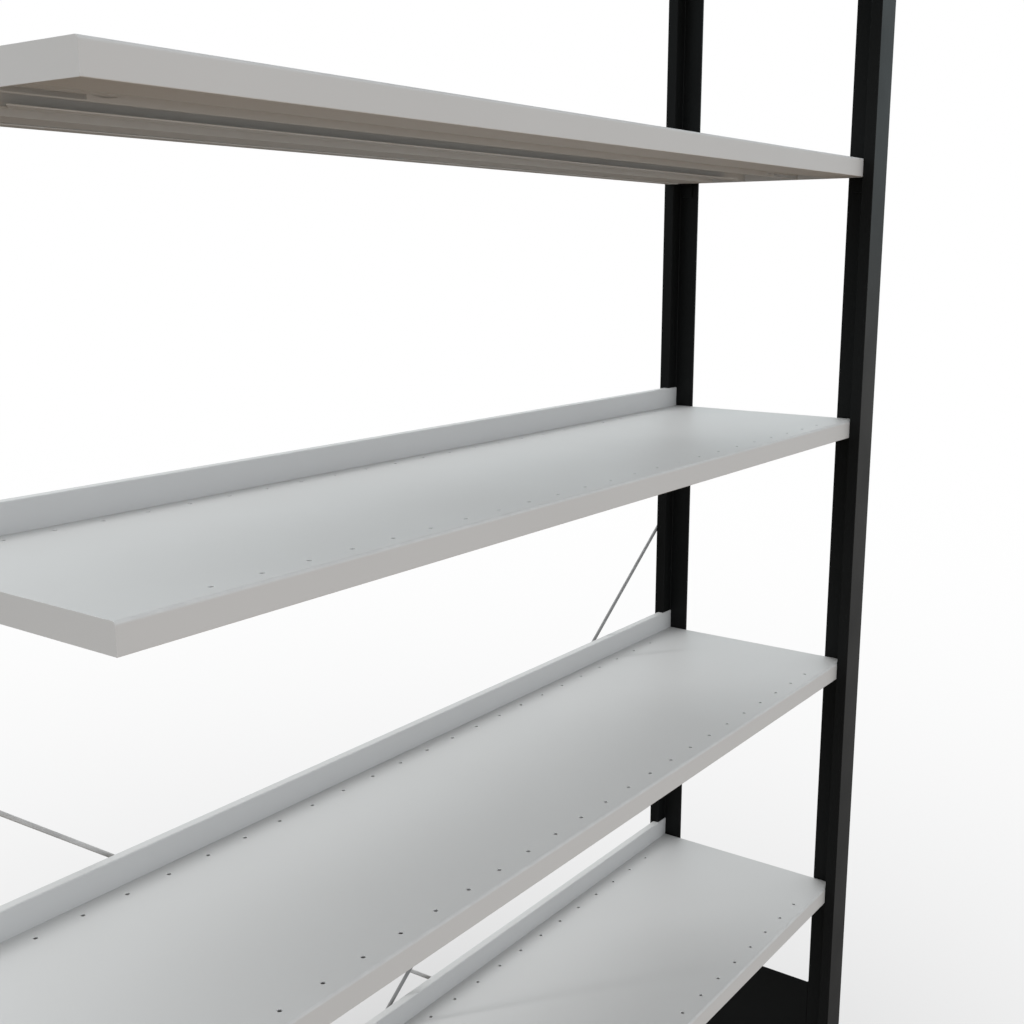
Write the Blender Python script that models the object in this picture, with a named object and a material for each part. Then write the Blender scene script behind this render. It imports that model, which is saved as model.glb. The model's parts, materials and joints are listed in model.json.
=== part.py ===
"""Add-on bay of a steel file shelving unit.

One side frame of two T-posts stands at the right end. The shelves rest on supports that hook
into its webs, and two crossing rods brace the back. The left ends of the shelves and rods
belong on the side frame of the next bay, which is not part of this object.

Bay coordinates, in metres: X = 0 on the inner face of the webs, with the shelves at -X.
Y = 0 on the front face of the shelves, with the back at +Y. Z = 0 on the floor.
"""
import math

import bmesh
import bpy
from mathutils import Vector

# Whole bay
BAY_PITCH = 1.300
FRAME_HEIGHT = 2.200
FIT_GAP = 0.0003

# T-posts
FLANGE_WIDTH = 0.0503
FLANGE_DEPTH = 0.0154
FLANGE_WALL = 0.0015
WEB_THICKNESS = 0.0035
WEB_LENGTH = 0.0294

# Feet and caps on the ends of the posts
END_PLATE = 0.003
PLUG_LENGTH = 0.022

# Shelf trays
SHELF_DEPTH = 0.2982
SHELF_HEIGHT = 0.025
SHELF_SHEET = 0.0012
SHELF_PITCH = 0.3667
LOWEST_SHELF_TOP = 0.1833
TOP_SPACE = 0.150
RETURN_WIDTH = 0.0545
RETURN_LIP = 0.0078
BEND_RADIUS = 0.0016

# Divider holes, in one row along the front and one along the back of a deck
HOLE_DIAMETER = 0.0042
HOLE_PITCH = 0.050
HOLE_INSET = 0.0191
HOLE_END_SPACE = 0.075

# Stiffener under the deck
STIFFENER_WIDTH = 0.086
STIFFENER_LIP = 0.0205
STIFFENER_SLOT_LENGTH = 0.080
STIFFENER_SLOT_HEIGHT = 0.0038
STIFFENER_SLOT_STRIP = 0.0011

# Rear stop on the back edge of a shelf
STOP_HEIGHT = 0.029
STOP_DEPTH = 0.0112
STOP_FOOT = 0.0182
STOP_POST_CLEARANCE = 0.0008

# Shelf supports
SUPPORT_INSET = 0.003
SUPPORT_WIDTH = 0.017
SUPPORT_SHEET = 0.002
SUPPORT_LEDGE = 0.0077
SUPPORT_HEIGHT = 0.020
HOOK_INSET = 0.001
HOOK_NECK = 0.008
HOOK_DROP = 0.005
HOOK_RISE = 0.005

# Tie panels between the posts
PANEL_SHEET = 0.0015
PANEL_LAP = 0.012
LOWER_PANEL_BOTTOM = 0.020
LOWER_PANEL_HEIGHT = 0.3467
UPPER_PANEL_DROP = 0.020
UPPER_PANEL_HEIGHT = 0.140

# Screws that hold the tie panels
SCREW_DIAMETER = 0.004
SCREW_HEAD_DIAMETER = 0.008
SCREW_HEAD_HEIGHT = 0.0024
SCREW_EDGE = 0.030
SCREW_SKIN = 0.001

# Cross brace
ROD_1_TOP = 1.0996
ROD_2_TOP = 1.1028
BRACE_DROP = 0.9986
ROD_DIAMETER = 0.0048
EYE_DIAMETER = 0.018
EYE_THICKNESS = 0.003
EYE_JOIN = 0.002
BOLT_DIAMETER = 0.006
BOLT_HEAD_WIDTH = 0.010
BOLT_HEAD_HEIGHT = 0.004
BOLT_REACH = 0.006
SPACER_DIAMETER = 0.013

# Places that follow from the sizes
POST_CENTRE_X = WEB_THICKNESS / 2
LEFT_POST_CENTRE_X = POST_CENTRE_X - BAY_PITCH
SHELF_RIGHT = -FIT_GAP
SHELF_LENGTH = BAY_PITCH - WEB_THICKNESS - 2 * FIT_GAP
POST_BOTTOM = END_PLATE + FIT_GAP
POST_TOP = FRAME_HEIGHT - END_PLATE - FIT_GAP
WEB_END_Y = WEB_LENGTH - FIT_GAP
REAR_FACE_Y = SHELF_DEPTH + FIT_GAP + FLANGE_DEPTH
FRONT_EYE_Y = REAR_FACE_Y + FIT_GAP
REAR_EYE_Y = FRONT_EYE_Y + ROD_DIAMETER + FIT_GAP
UPPER_BOLT_Z = ROD_1_TOP
LOWER_BOLT_Z = ROD_2_TOP - BRACE_DROP
SHELF_COUNT = 1 + int((FRAME_HEIGHT - LOWEST_SHELF_TOP - TOP_SPACE) / SHELF_PITCH)
SHELF_TOPS = [LOWEST_SHELF_TOP + SHELF_PITCH * index for index in range(SHELF_COUNT)]


def add_object(name, mesh):
    obj = bpy.data.objects.new(name, mesh)
    bpy.context.scene.collection.objects.link(obj)
    return obj


def mesh_object(name, bm):
    bmesh.ops.recalc_face_normals(bm, faces=bm.faces)
    mesh = bpy.data.meshes.new(name)
    bm.to_mesh(mesh)
    bm.free()
    return add_object(name, mesh)


def prism(name, outline, axis, start, end):
    """Extrude an outline of the two other coordinates, in X, Y, Z order, along one axis."""
    places = {
        "X": lambda a, b: (start, a, b),
        "Y": lambda a, b: (a, start, b),
        "Z": lambda a, b: (a, b, start),
    }
    run = {"X": (end - start, 0, 0), "Y": (0, end - start, 0), "Z": (0, 0, end - start)}
    bm = bmesh.new()
    face = bm.faces.new([bm.verts.new(places[axis](a, b)) for a, b in outline])
    extruded = bmesh.ops.extrude_face_region(bm, geom=[face])
    moved = [item for item in extruded["geom"] if isinstance(item, bmesh.types.BMVert)]
    bmesh.ops.translate(bm, verts=moved, vec=run[axis])
    return mesh_object(name, bm)


def block(name, low, high):
    outline = [(low[0], low[1]), (high[0], low[1]), (high[0], high[1]), (low[0], high[1])]
    return prism(name, outline, "Z", low[2], high[2])


def polygon(centre, radius, sides):
    points = []
    for index in range(sides):
        angle = 2 * math.pi * (index + 0.5) / sides
        points.append((centre[0] + radius * math.cos(angle), centre[1] + radius * math.sin(angle)))
    return points


def combine(base, tools, operation):
    """Apply one Boolean with tools that stay clear of each other, and remove the tools."""
    bm = bmesh.new()
    for tool in tools:
        bm.from_mesh(tool.data)
        bpy.data.objects.remove(tool)
    joined = mesh_object("tools", bm)
    modifier = base.modifiers.new(operation.lower(), "BOOLEAN")
    modifier.operation = operation
    modifier.solver = "EXACT"
    modifier.object = joined
    graph = bpy.context.evaluated_depsgraph_get()
    mesh = bpy.data.meshes.new_from_object(base.evaluated_get(graph))
    mesh.name = base.name
    base.modifiers.clear()
    base.data = mesh
    bpy.data.objects.remove(joined)
    return base


def paint(name, colour, roughness, metallic):
    material = bpy.data.materials.new(name)
    material.use_nodes = True
    shader = material.node_tree.nodes["Principled BSDF"]
    shader.inputs["Base Color"].default_value = (*colour, 1)
    shader.inputs["Roughness"].default_value = roughness
    shader.inputs["Metallic"].default_value = metallic
    return material


def place(obj, parent, material, location=(0, 0, 0), smooth=False):
    obj.parent = parent
    obj.location = location
    if not obj.data.materials:
        obj.data.materials.append(material)
    if smooth:
        obj.data.shade_smooth()
        obj.data.set_sharp_from_angle(angle=math.radians(35))
    return obj


def depth_y(y, at_rear):
    """Mirror a front place in Y to the matching place at the rear."""
    return SHELF_DEPTH - y if at_rear else y


def span_y(low, high, at_rear):
    return sorted((depth_y(low, at_rear), depth_y(high, at_rear)))


def post_outline(at_rear):
    half = FLANGE_WIDTH / 2
    front = -FIT_GAP - FLANGE_DEPTH
    back = -FIT_GAP
    corners = [
        (POST_CENTRE_X - half, front),
        (POST_CENTRE_X + half, front),
        (POST_CENTRE_X + half, back),
        (WEB_THICKNESS, back),
        (WEB_THICKNESS, WEB_END_Y),
        (0, WEB_END_Y),
        (0, back),
        (POST_CENTRE_X - half, back),
    ]
    return [(x, depth_y(y, at_rear)) for x, y in corners]


def flange_core(inset, at_rear):
    """Low and high corners, in X and Y, of the flange's hollow, drawn in by an inset."""
    margin = FLANGE_WALL + inset
    half = FLANGE_WIDTH / 2 - margin
    low_y, high_y = span_y(-FIT_GAP - FLANGE_DEPTH + margin, -FIT_GAP - margin, at_rear)
    return (POST_CENTRE_X - half, low_y), (POST_CENTRE_X + half, high_y)


def hook_span(at_rear, clearance=0):
    start = SUPPORT_INSET + HOOK_INSET - clearance
    return span_y(start, start + SUPPORT_SHEET + 2 * clearance, at_rear)


def support_levels():
    """Height of the supports' upper faces, one for each shelf."""
    return [top - SHELF_HEIGHT - FIT_GAP for top in SHELF_TOPS]


def panel_spans():
    upper_top = FRAME_HEIGHT - UPPER_PANEL_DROP
    return [
        ("lower", LOWER_PANEL_BOTTOM, LOWER_PANEL_BOTTOM + LOWER_PANEL_HEIGHT),
        ("upper", upper_top - UPPER_PANEL_HEIGHT, upper_top),
    ]


def screw_places(at_rear):
    y = depth_y(WEB_END_Y - PANEL_LAP / 2, at_rear)
    places = []
    for _, bottom, top in panel_spans():
        places.extend([(y, bottom + SCREW_EDGE), (y, top - SCREW_EDGE)])
    return places


def make_post(name, at_rear):
    post = prism(name, post_outline(at_rear), "Z", POST_BOTTOM, POST_TOP)
    low, high = flange_core(0, at_rear)
    over = 0.01
    core = block("core", (*low, POST_BOTTOM - over), (*high, POST_TOP + over))
    combine(post, [core], "DIFFERENCE")
    cuts = []
    slot_low_y, slot_high_y = hook_span(at_rear, FIT_GAP)
    for level in support_levels():
        neck_bottom = level - SUPPORT_HEIGHT + HOOK_DROP
        slot_bottom = neck_bottom - FIT_GAP
        slot_top = neck_bottom + HOOK_NECK + HOOK_RISE + FIT_GAP
        low_corner = (-over, slot_low_y, slot_bottom)
        cuts.append(block("slot", low_corner, (WEB_THICKNESS + over, slot_high_y, slot_top)))
    for place_yz in screw_places(at_rear):
        ring = polygon(place_yz, SCREW_DIAMETER / 2 + FIT_GAP, 12)
        cuts.append(prism("screw_hole", ring, "X", SCREW_SKIN, WEB_THICKNESS + over))
    if at_rear:
        for height in (LOWER_BOLT_Z, UPPER_BOLT_Z):
            ring = polygon((POST_CENTRE_X, height), BOLT_DIAMETER / 2 + FIT_GAP, 12)
            middle = REAR_FACE_Y - FLANGE_DEPTH / 2
            cuts.append(prism("bolt_hole", ring, "Y", middle, REAR_FACE_Y + over))
    return combine(post, cuts, "DIFFERENCE")


def make_post_end(name, at_rear, at_top):
    """Plate with the post's outline and a plug that goes into the hollow flange."""
    low, high = flange_core(FIT_GAP, at_rear)
    if at_top:
        plate = prism(name, post_outline(at_rear), "Z", FRAME_HEIGHT - END_PLATE, FRAME_HEIGHT)
        bottom = FRAME_HEIGHT - END_PLATE - PLUG_LENGTH
        plug = block("plug", (*low, bottom), (*high, FRAME_HEIGHT - END_PLATE / 2))
    else:
        plate = prism(name, post_outline(at_rear), "Z", 0, END_PLATE)
        plug = block("plug", (*low, END_PLATE / 2), (*high, END_PLATE + PLUG_LENGTH))
    return combine(plate, [plug], "UNION")


def make_panel(name, bottom, top):
    """Sheet that lies flush with the webs' inner faces and laps their outer faces."""
    lap_x = WEB_THICKNESS + FIT_GAP
    edge = WEB_END_Y + FIT_GAP
    half = [
        (lap_x + PANEL_SHEET, WEB_END_Y - PANEL_LAP),
        (lap_x, WEB_END_Y - PANEL_LAP),
        (lap_x, edge),
        (0, edge),
    ]
    inner = [
        (PANEL_SHEET, edge + PANEL_SHEET),
        (lap_x + PANEL_SHEET, edge + PANEL_SHEET),
    ]
    rear_half = [(x, depth_y(y, True)) for x, y in reversed(half)]
    rear_inner = [(x, depth_y(y, True)) for x, y in reversed(inner)]
    panel = prism(name, half + rear_half + rear_inner + inner, "Z", bottom, top)
    holes = []
    for at_rear in (False, True):
        for y, z in screw_places(at_rear):
            if bottom < z < top:
                ring = polygon((y, z), SCREW_DIAMETER / 2 + FIT_GAP, 12)
                start = WEB_THICKNESS / 2
                holes.append(prism("screw_hole", ring, "X", start, lap_x + 2 * PANEL_SHEET))
    return combine(panel, holes, "DIFFERENCE")


def make_screw_mesh():
    """Screw along X with its head's underside at X = 0 and its shank at -X."""
    lap_x = WEB_THICKNESS + FIT_GAP + PANEL_SHEET + FIT_GAP
    shank_end = SCREW_SKIN + FIT_GAP - lap_x
    head = prism("screw", polygon((0, 0), SCREW_HEAD_DIAMETER / 2, 16), "X", 0, SCREW_HEAD_HEIGHT)
    ring = polygon((0, 0), SCREW_DIAMETER / 2, 12)
    shank = prism("shank", ring, "X", shank_end, SCREW_HEAD_HEIGHT / 2)
    return take_mesh(combine(head, [shank], "UNION"))


def make_support_mesh(at_rear):
    """Angle with a ledge at Z = 0 and a hook through the web."""
    near = -FIT_GAP
    angle = [
        (near, 0),
        (near - SUPPORT_LEDGE, 0),
        (near - SUPPORT_LEDGE, -SUPPORT_SHEET),
        (near - SUPPORT_SHEET, -SUPPORT_SHEET),
        (near - SUPPORT_SHEET, -SUPPORT_HEIGHT),
        (near, -SUPPORT_HEIGHT),
    ]
    low_y, high_y = span_y(SUPPORT_INSET, SUPPORT_INSET + SUPPORT_WIDTH, at_rear)
    support = prism("support", angle, "Y", low_y, high_y)
    far = WEB_THICKNESS + FIT_GAP
    neck_bottom = -SUPPORT_HEIGHT + HOOK_DROP
    neck_top = neck_bottom + HOOK_NECK
    hook = [
        (near - SUPPORT_SHEET / 2, neck_top),
        (near - SUPPORT_SHEET / 2, neck_bottom),
        (far, neck_bottom),
        (far, neck_bottom - HOOK_DROP),
        (far + SUPPORT_SHEET, neck_bottom - HOOK_DROP),
        (far + SUPPORT_SHEET, neck_top),
    ]
    blade = prism("blade", hook, "Y", *hook_span(at_rear))
    return take_mesh(combine(support, [blade], "UNION"))


def make_tray_mesh():
    """Folded tray with its right end at X = 0, its front at Y = 0 and its deck's top at Z = 0."""
    section = [(0, 0), (SHELF_DEPTH, 0), (SHELF_DEPTH, -SHELF_HEIGHT), (0, -SHELF_HEIGHT)]
    tray = prism("tray", section, "X", -SHELF_LENGTH, 0)
    bm = bmesh.new()
    bm.from_mesh(tray.data)
    folds = [edge for edge in bm.edges if edge.calc_length() > SHELF_LENGTH * 0.99]
    bmesh.ops.bevel(
        bm, geom=folds, offset=BEND_RADIUS, offset_type="OFFSET", segments=3, profile=0.5,
        affect="EDGES")
    bm.to_mesh(tray.data)
    bm.free()
    floor_z = -SHELF_HEIGHT + SHELF_SHEET
    half = [
        (RETURN_WIDTH, -SHELF_HEIGHT - SHELF_SHEET),
        (RETURN_WIDTH, floor_z + RETURN_LIP),
        (RETURN_WIDTH - SHELF_SHEET, floor_z + RETURN_LIP),
        (RETURN_WIDTH - SHELF_SHEET, floor_z),
        (SHELF_SHEET, floor_z),
        (SHELF_SHEET, -SHELF_SHEET),
    ]
    hollow = half + [(SHELF_DEPTH - y, z) for y, z in reversed(half)]
    cavity = prism("cavity", hollow, "X", SHELF_SHEET - SHELF_LENGTH, -SHELF_SHEET)
    combine(tray, [cavity], "DIFFERENCE")
    holes = []
    for x, y in hole_places():
        ring = polygon((x, y), HOLE_DIAMETER / 2, 6)
        holes.append(prism("hole", ring, "Z", -2 * SHELF_SHEET, SHELF_SHEET))
    return take_mesh(combine(tray, holes, "DIFFERENCE"))


def hole_places():
    """Divider holes at an even pitch, centred along the shelf."""
    spaces = int((SHELF_LENGTH - 2 * HOLE_END_SPACE) / HOLE_PITCH)
    first = -(SHELF_LENGTH + spaces * HOLE_PITCH) / 2
    places = []
    for index in range(spaces + 1):
        x = first + index * HOLE_PITCH
        places.extend([(x, HOLE_INSET), (x, SHELF_DEPTH - HOLE_INSET)])
    return places


def make_stiffener_mesh():
    """Channel under the middle of the deck, open below, with slots at both ends of its front."""
    top = -SHELF_SHEET - FIT_GAP
    bottom = -SHELF_HEIGHT
    front = (SHELF_DEPTH - STIFFENER_WIDTH) / 2
    rear = front + STIFFENER_WIDTH
    section = [
        (front, bottom),
        (front, top),
        (rear, top),
        (rear, bottom),
        (rear - STIFFENER_LIP, bottom),
        (rear - STIFFENER_LIP, bottom + SHELF_SHEET),
        (rear - SHELF_SHEET, bottom + SHELF_SHEET),
        (rear - SHELF_SHEET, top - SHELF_SHEET),
        (front + SHELF_SHEET, top - SHELF_SHEET),
        (front + SHELF_SHEET, bottom),
    ]
    inset = SHELF_SHEET + FIT_GAP
    stiffener = prism("stiffener", section, "X", inset - SHELF_LENGTH, -inset)
    slot_bottom = bottom + STIFFENER_SLOT_STRIP
    slot_top = slot_bottom + STIFFENER_SLOT_HEIGHT
    edge = 0.004
    slots = []
    for start, end in (
            (inset + edge - SHELF_LENGTH, inset + STIFFENER_SLOT_LENGTH - SHELF_LENGTH),
            (-inset - STIFFENER_SLOT_LENGTH, -inset - edge)):
        low = (start, front - SHELF_SHEET, slot_bottom)
        slots.append(block("slot", low, (end, front + 2 * SHELF_SHEET, slot_top)))
    return take_mesh(combine(stiffener, slots, "DIFFERENCE"))


def make_stop_mesh():
    """Strip that stands on the deck's back edge, hooks under it and is notched at the posts."""
    deck = FIT_GAP
    front = SHELF_DEPTH - SHELF_SHEET
    rear = front + STOP_DEPTH
    foot_top = -SHELF_HEIGHT - FIT_GAP
    foot_bottom = foot_top - SHELF_SHEET
    section = [
        (front, deck),
        (front, STOP_HEIGHT),
        (rear, STOP_HEIGHT),
        (rear, foot_bottom),
        (rear - STOP_FOOT, foot_bottom),
        (rear - STOP_FOOT, foot_top),
        (rear - SHELF_SHEET, foot_top),
        (rear - SHELF_SHEET, STOP_HEIGHT - SHELF_SHEET),
        (front + SHELF_SHEET, STOP_HEIGHT - SHELF_SHEET),
        (front + SHELF_SHEET, deck),
    ]
    stop = prism("stop", section, "X", -SHELF_LENGTH, 0)
    half_post = FLANGE_WIDTH / 2 + STOP_POST_CLEARANCE
    right_notch = POST_CENTRE_X - half_post - SHELF_RIGHT
    left_notch = LEFT_POST_CENTRE_X + half_post - SHELF_RIGHT
    over = 0.01
    behind = SHELF_DEPTH + FIT_GAP / 3
    notch = [
        (rear - STOP_FOOT - over, foot_bottom - over),
        (rear + over, foot_bottom - over),
        (rear + over, STOP_HEIGHT + over),
        (behind, STOP_HEIGHT + over),
        (behind, foot_top / 2),
        (rear - STOP_FOOT - over, foot_top / 2),
    ]
    notches = []
    for start, end in ((-SHELF_LENGTH - over, left_notch), (right_notch, over)):
        notches.append(prism("notch", notch, "X", start, end))
    return take_mesh(combine(stop, notches, "DIFFERENCE"))


def make_rod_mesh():
    """Brace rod along X with an eye at each end, the eyes' front faces at Y = 0."""
    length = math.hypot(BAY_PITCH, BRACE_DROP)
    reach = length / 2
    start = reach - EYE_DIAMETER / 2 + EYE_JOIN
    ring = polygon((ROD_DIAMETER / 2, 0), ROD_DIAMETER / 2, 12)
    rod = prism("rod", ring, "X", -start, start)
    eyes = []
    holes = []
    for centre in (-reach, reach):
        disc = polygon((centre, 0), EYE_DIAMETER / 2, 24)
        eyes.append(prism("eye", disc, "Y", 0, EYE_THICKNESS))
        bore = polygon((centre, 0), BOLT_DIAMETER / 2 + FIT_GAP, 16)
        holes.append(prism("bore", bore, "Y", -EYE_THICKNESS, 2 * EYE_THICKNESS))
    combine(rod, eyes, "UNION")
    return take_mesh(combine(rod, holes, "DIFFERENCE"))


def make_bolt(name, height, eye_y):
    seat = eye_y + EYE_THICKNESS + FIT_GAP
    centre = (POST_CENTRE_X, height)
    hexagon = polygon(centre, BOLT_HEAD_WIDTH / math.sqrt(3), 6)
    bolt = prism(name, hexagon, "Y", seat, seat + BOLT_HEAD_HEIGHT)
    ring = polygon(centre, BOLT_DIAMETER / 2, 12)
    start = REAR_FACE_Y - FLANGE_WALL - BOLT_REACH
    shank = prism("shank", ring, "Y", start, seat + BOLT_HEAD_HEIGHT / 2)
    return combine(bolt, [shank], "UNION")


def make_spacer(name, height):
    centre = (POST_CENTRE_X, height)
    spacer = prism(name, polygon(centre, SPACER_DIAMETER / 2, 20), "Y", FRONT_EYE_Y,
                   REAR_EYE_Y - FIT_GAP)
    bore = polygon(centre, BOLT_DIAMETER / 2 + FIT_GAP, 16)
    hole = prism("bore", bore, "Y", FRONT_EYE_Y - ROD_DIAMETER, REAR_EYE_Y + ROD_DIAMETER)
    return combine(spacer, [hole], "DIFFERENCE")


def take_mesh(obj):
    """Keep an object's mesh for several objects and remove the object."""
    mesh = obj.data
    bpy.data.objects.remove(obj)
    return mesh


def add_empty(name, parent, location):
    empty = bpy.data.objects.new(name, None)
    empty.empty_display_size = 0.05
    bpy.context.scene.collection.objects.link(empty)
    empty.parent = parent
    empty.location = location
    return empty


def bay_shift():
    """Move that puts the origin at the bottom centre of the part's box."""
    left = LEFT_POST_CENTRE_X - EYE_DIAMETER / 2
    right = POST_CENTRE_X + FLANGE_WIDTH / 2
    front = -FIT_GAP - FLANGE_DEPTH
    rear = REAR_EYE_Y + EYE_THICKNESS + FIT_GAP + BOLT_HEAD_HEIGHT
    return Vector((-(left + right) / 2, -(front + rear) / 2, 0))


def main():
    for obj in list(bpy.data.objects):
        bpy.data.objects.remove(obj)

    black = paint("post_paint", (0.011, 0.012, 0.012), 0.38, 0.0)
    grey = paint("shelf_paint", (0.56, 0.56, 0.53), 0.42, 0.0)
    zinc = paint("zinc", (0.52, 0.53, 0.54), 0.35, 1.0)
    plastic = paint("foot_plastic", (0.013, 0.013, 0.013), 0.55, 0.0)

    bay = add_empty("bay_origin", None, bay_shift())

    # Side frame
    for side, at_rear in (("front", False), ("rear", True)):
        place(make_post(side + "_post", at_rear), bay, black)
        place(make_post_end(side + "_foot", at_rear, False), bay, plastic)
        place(make_post_end(side + "_cap", at_rear, True), bay, plastic)

    screw_mesh = make_screw_mesh()
    head_x = WEB_THICKNESS + FIT_GAP + PANEL_SHEET + FIT_GAP
    for label, bottom, top in panel_spans():
        place(make_panel(label + "_tie_panel", bottom, top), bay, black)
        for side, at_rear in (("front", False), ("rear", True)):
            heights = [spot for spot in screw_places(at_rear) if bottom < spot[1] < top]
            for number, (y, z) in enumerate(heights, 1):
                screw = add_object(f"{label}_panel_screw_{side}_{number}", screw_mesh)
                place(screw, bay, zinc, (head_x, y, z), smooth=True)

    # Shelf supports
    for side, at_rear in (("front", False), ("rear", True)):
        support_mesh = make_support_mesh(at_rear)
        for number, level in enumerate(support_levels(), 1):
            support = add_object(f"support_{side}_{number}", support_mesh)
            place(support, bay, black, (0, 0, level))

    # Shelves, each on an empty that stands on its lifting axis
    tray_mesh = make_tray_mesh()
    stiffener_mesh = make_stiffener_mesh()
    stop_mesh = make_stop_mesh()
    for number, top in enumerate(SHELF_TOPS, 1):
        lift = add_empty(f"shelf_lift_{number}", bay, (SHELF_RIGHT, 0, top))
        place(add_object(f"shelf_tray_{number}", tray_mesh), lift, grey)
        place(add_object(f"shelf_stiffener_{number}", stiffener_mesh), lift, grey)
        place(add_object(f"rear_stop_{number}", stop_mesh), lift, grey)

    # Cross brace
    rod_mesh = make_rod_mesh()
    middle_x = (POST_CENTRE_X + LEFT_POST_CENTRE_X) / 2
    slope = math.atan2(BRACE_DROP, BAY_PITCH)
    rods = ((1, FRONT_EYE_Y, ROD_1_TOP, -slope), (2, REAR_EYE_Y, ROD_2_TOP, slope))
    for number, eye_y, top, turn in rods:
        rod = add_object(f"brace_rod_{number}", rod_mesh)
        place(rod, bay, zinc, (middle_x, eye_y, top - BRACE_DROP / 2), smooth=True)
        rod.rotation_euler = (0, turn, 0)
    place(make_bolt("brace_bolt_upper", UPPER_BOLT_Z, FRONT_EYE_Y), bay, zinc)
    place(make_bolt("brace_bolt_lower", LOWER_BOLT_Z, REAR_EYE_Y), bay, zinc)
    place(make_spacer("brace_spacer", LOWER_BOLT_Z), bay, zinc, smooth=True)


main()
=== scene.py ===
"""Looks of an add-on bay of a steel file shelving unit.

Shapes are made in bay coordinates, in metres: X = 0 on the inner face of the webs with the shelves
at -X, Y = 0 on the front face of the shelves with the back at +Y, and Z = 0 on the floor.
"""
import json
import math

import bmesh
import bpy
from mathutils import Matrix, Vector

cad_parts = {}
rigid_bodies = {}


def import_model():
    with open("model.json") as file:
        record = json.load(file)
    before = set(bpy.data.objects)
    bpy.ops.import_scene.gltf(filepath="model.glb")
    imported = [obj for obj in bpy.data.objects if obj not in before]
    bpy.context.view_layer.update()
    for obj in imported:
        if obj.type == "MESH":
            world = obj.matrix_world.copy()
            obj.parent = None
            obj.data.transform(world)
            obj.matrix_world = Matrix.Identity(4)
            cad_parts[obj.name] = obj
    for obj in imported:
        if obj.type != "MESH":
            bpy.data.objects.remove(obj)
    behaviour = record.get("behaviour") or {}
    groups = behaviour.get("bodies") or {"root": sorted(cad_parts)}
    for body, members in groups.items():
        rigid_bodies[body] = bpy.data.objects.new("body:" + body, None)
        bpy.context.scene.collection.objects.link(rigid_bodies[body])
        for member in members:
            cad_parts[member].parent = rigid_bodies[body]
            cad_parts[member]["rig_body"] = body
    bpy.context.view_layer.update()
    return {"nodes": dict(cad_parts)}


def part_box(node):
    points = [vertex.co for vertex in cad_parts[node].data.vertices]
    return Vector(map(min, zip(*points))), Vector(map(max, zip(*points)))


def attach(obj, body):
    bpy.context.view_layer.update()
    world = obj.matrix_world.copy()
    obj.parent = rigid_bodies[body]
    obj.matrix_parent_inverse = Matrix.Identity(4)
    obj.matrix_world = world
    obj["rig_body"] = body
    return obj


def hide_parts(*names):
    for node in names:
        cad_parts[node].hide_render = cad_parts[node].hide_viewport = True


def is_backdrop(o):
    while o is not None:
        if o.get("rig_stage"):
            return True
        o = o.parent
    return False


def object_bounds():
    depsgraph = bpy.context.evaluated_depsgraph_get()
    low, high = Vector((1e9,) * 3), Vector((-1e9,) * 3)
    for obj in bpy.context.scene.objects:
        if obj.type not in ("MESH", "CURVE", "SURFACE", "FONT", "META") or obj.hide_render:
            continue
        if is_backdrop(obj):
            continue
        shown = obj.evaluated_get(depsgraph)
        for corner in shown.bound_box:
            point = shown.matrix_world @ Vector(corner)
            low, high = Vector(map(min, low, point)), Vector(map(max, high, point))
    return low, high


# Camera of the photograph
CAMERA_PLACE = (-1.157075, -0.84216, 1.5205)
CAMERA_YAW = 0.62882
CAMERA_PITCH = 0.19947
CAMERA_LENS = 44.982
CAMERA_SENSOR = 36

# Bay and T-posts
BAY_PITCH = 1.300
FIT_GAP = 0.0003
FLANGE_WIDTH = 0.0503
FLANGE_DEPTH = 0.0154
FLANGE_WALL = 0.0015
FLANGE_CORNER = 0.0008
FLANGE_BACK_CORNER = 0.0003
WEB_THICKNESS = 0.0035
WEB_LENGTH = 0.0294
WEB_FILLET = 0.0008
WEB_EDGE = 0.0004

# Feet and caps
END_PLATE = 0.003
END_EDGE = 0.0006
PLUG_LENGTH = 0.022

# Shelf trays
SHELF_COUNT = 6
SHELF_DEPTH = 0.2982
SHELF_HEIGHT = 0.025
SHEET = 0.0012
TOP_BEND = 0.0033
REAR_BEND = 0.0016
LOW_BEND = 0.0008
TRAY_END_EDGE = 0.0004
RETURN_WIDTH = 0.0545
RETURN_LIP = 0.0078
HOLE_RADIUS = 0.0021
HOLE_FLARE = 0.0003
HOLE_SIDES = 20
HOLE_PITCH = 0.050
HOLE_INSET = 0.0191
HOLE_SPACES = 22

# Stiffener of a shelf
STIFFENER_WIDTH = 0.086
STIFFENER_LIP = 0.0205
STIFFENER_BEND = 0.0012
STIFFENER_EDGE = 0.0008
SLOT_LENGTH = 0.080
SLOT_HEIGHT = 0.0038
SLOT_STRIP = 0.0011
SLOT_EDGE = 0.004
NICK_START = 0.0839
NICK_LOW = 0.0941
NICK_END = 0.1065
NICK_TOP = 0.0050
NICK_BOTTOM = 0.0031
LIP_START = 0.0594
LIP_START_BACK = 0.0728

# Rear stop of a shelf
STOP_HEIGHT = 0.029
STOP_DEPTH = 0.0112
STOP_FOOT = 0.0182
STOP_BEND = 0.0016
STOP_CLEARANCE = 0.0008
STOP_NOTCH_GAP = FIT_GAP / 3
STOP_SEAT = 0.0002

# Shelf supports
SUPPORT_INSET = 0.003
SUPPORT_WIDTH = 0.017
SUPPORT_SHEET = 0.002
SUPPORT_LEDGE = 0.0077
SUPPORT_HEIGHT = 0.020
SUPPORT_BEND = 0.0012
HOOK_INSET = 0.001
HOOK_NECK = 0.008
HOOK_DROP = 0.005
HOOK_RISE = 0.005
HOOK_TIP_CORNER = 0.0004
HOOK_BACK_CORNER = 0.001

# Tie panels
PANEL_SHEET = 0.0015
PANEL_LAP = 0.012
PANEL_BEND = 0.0011

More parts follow.
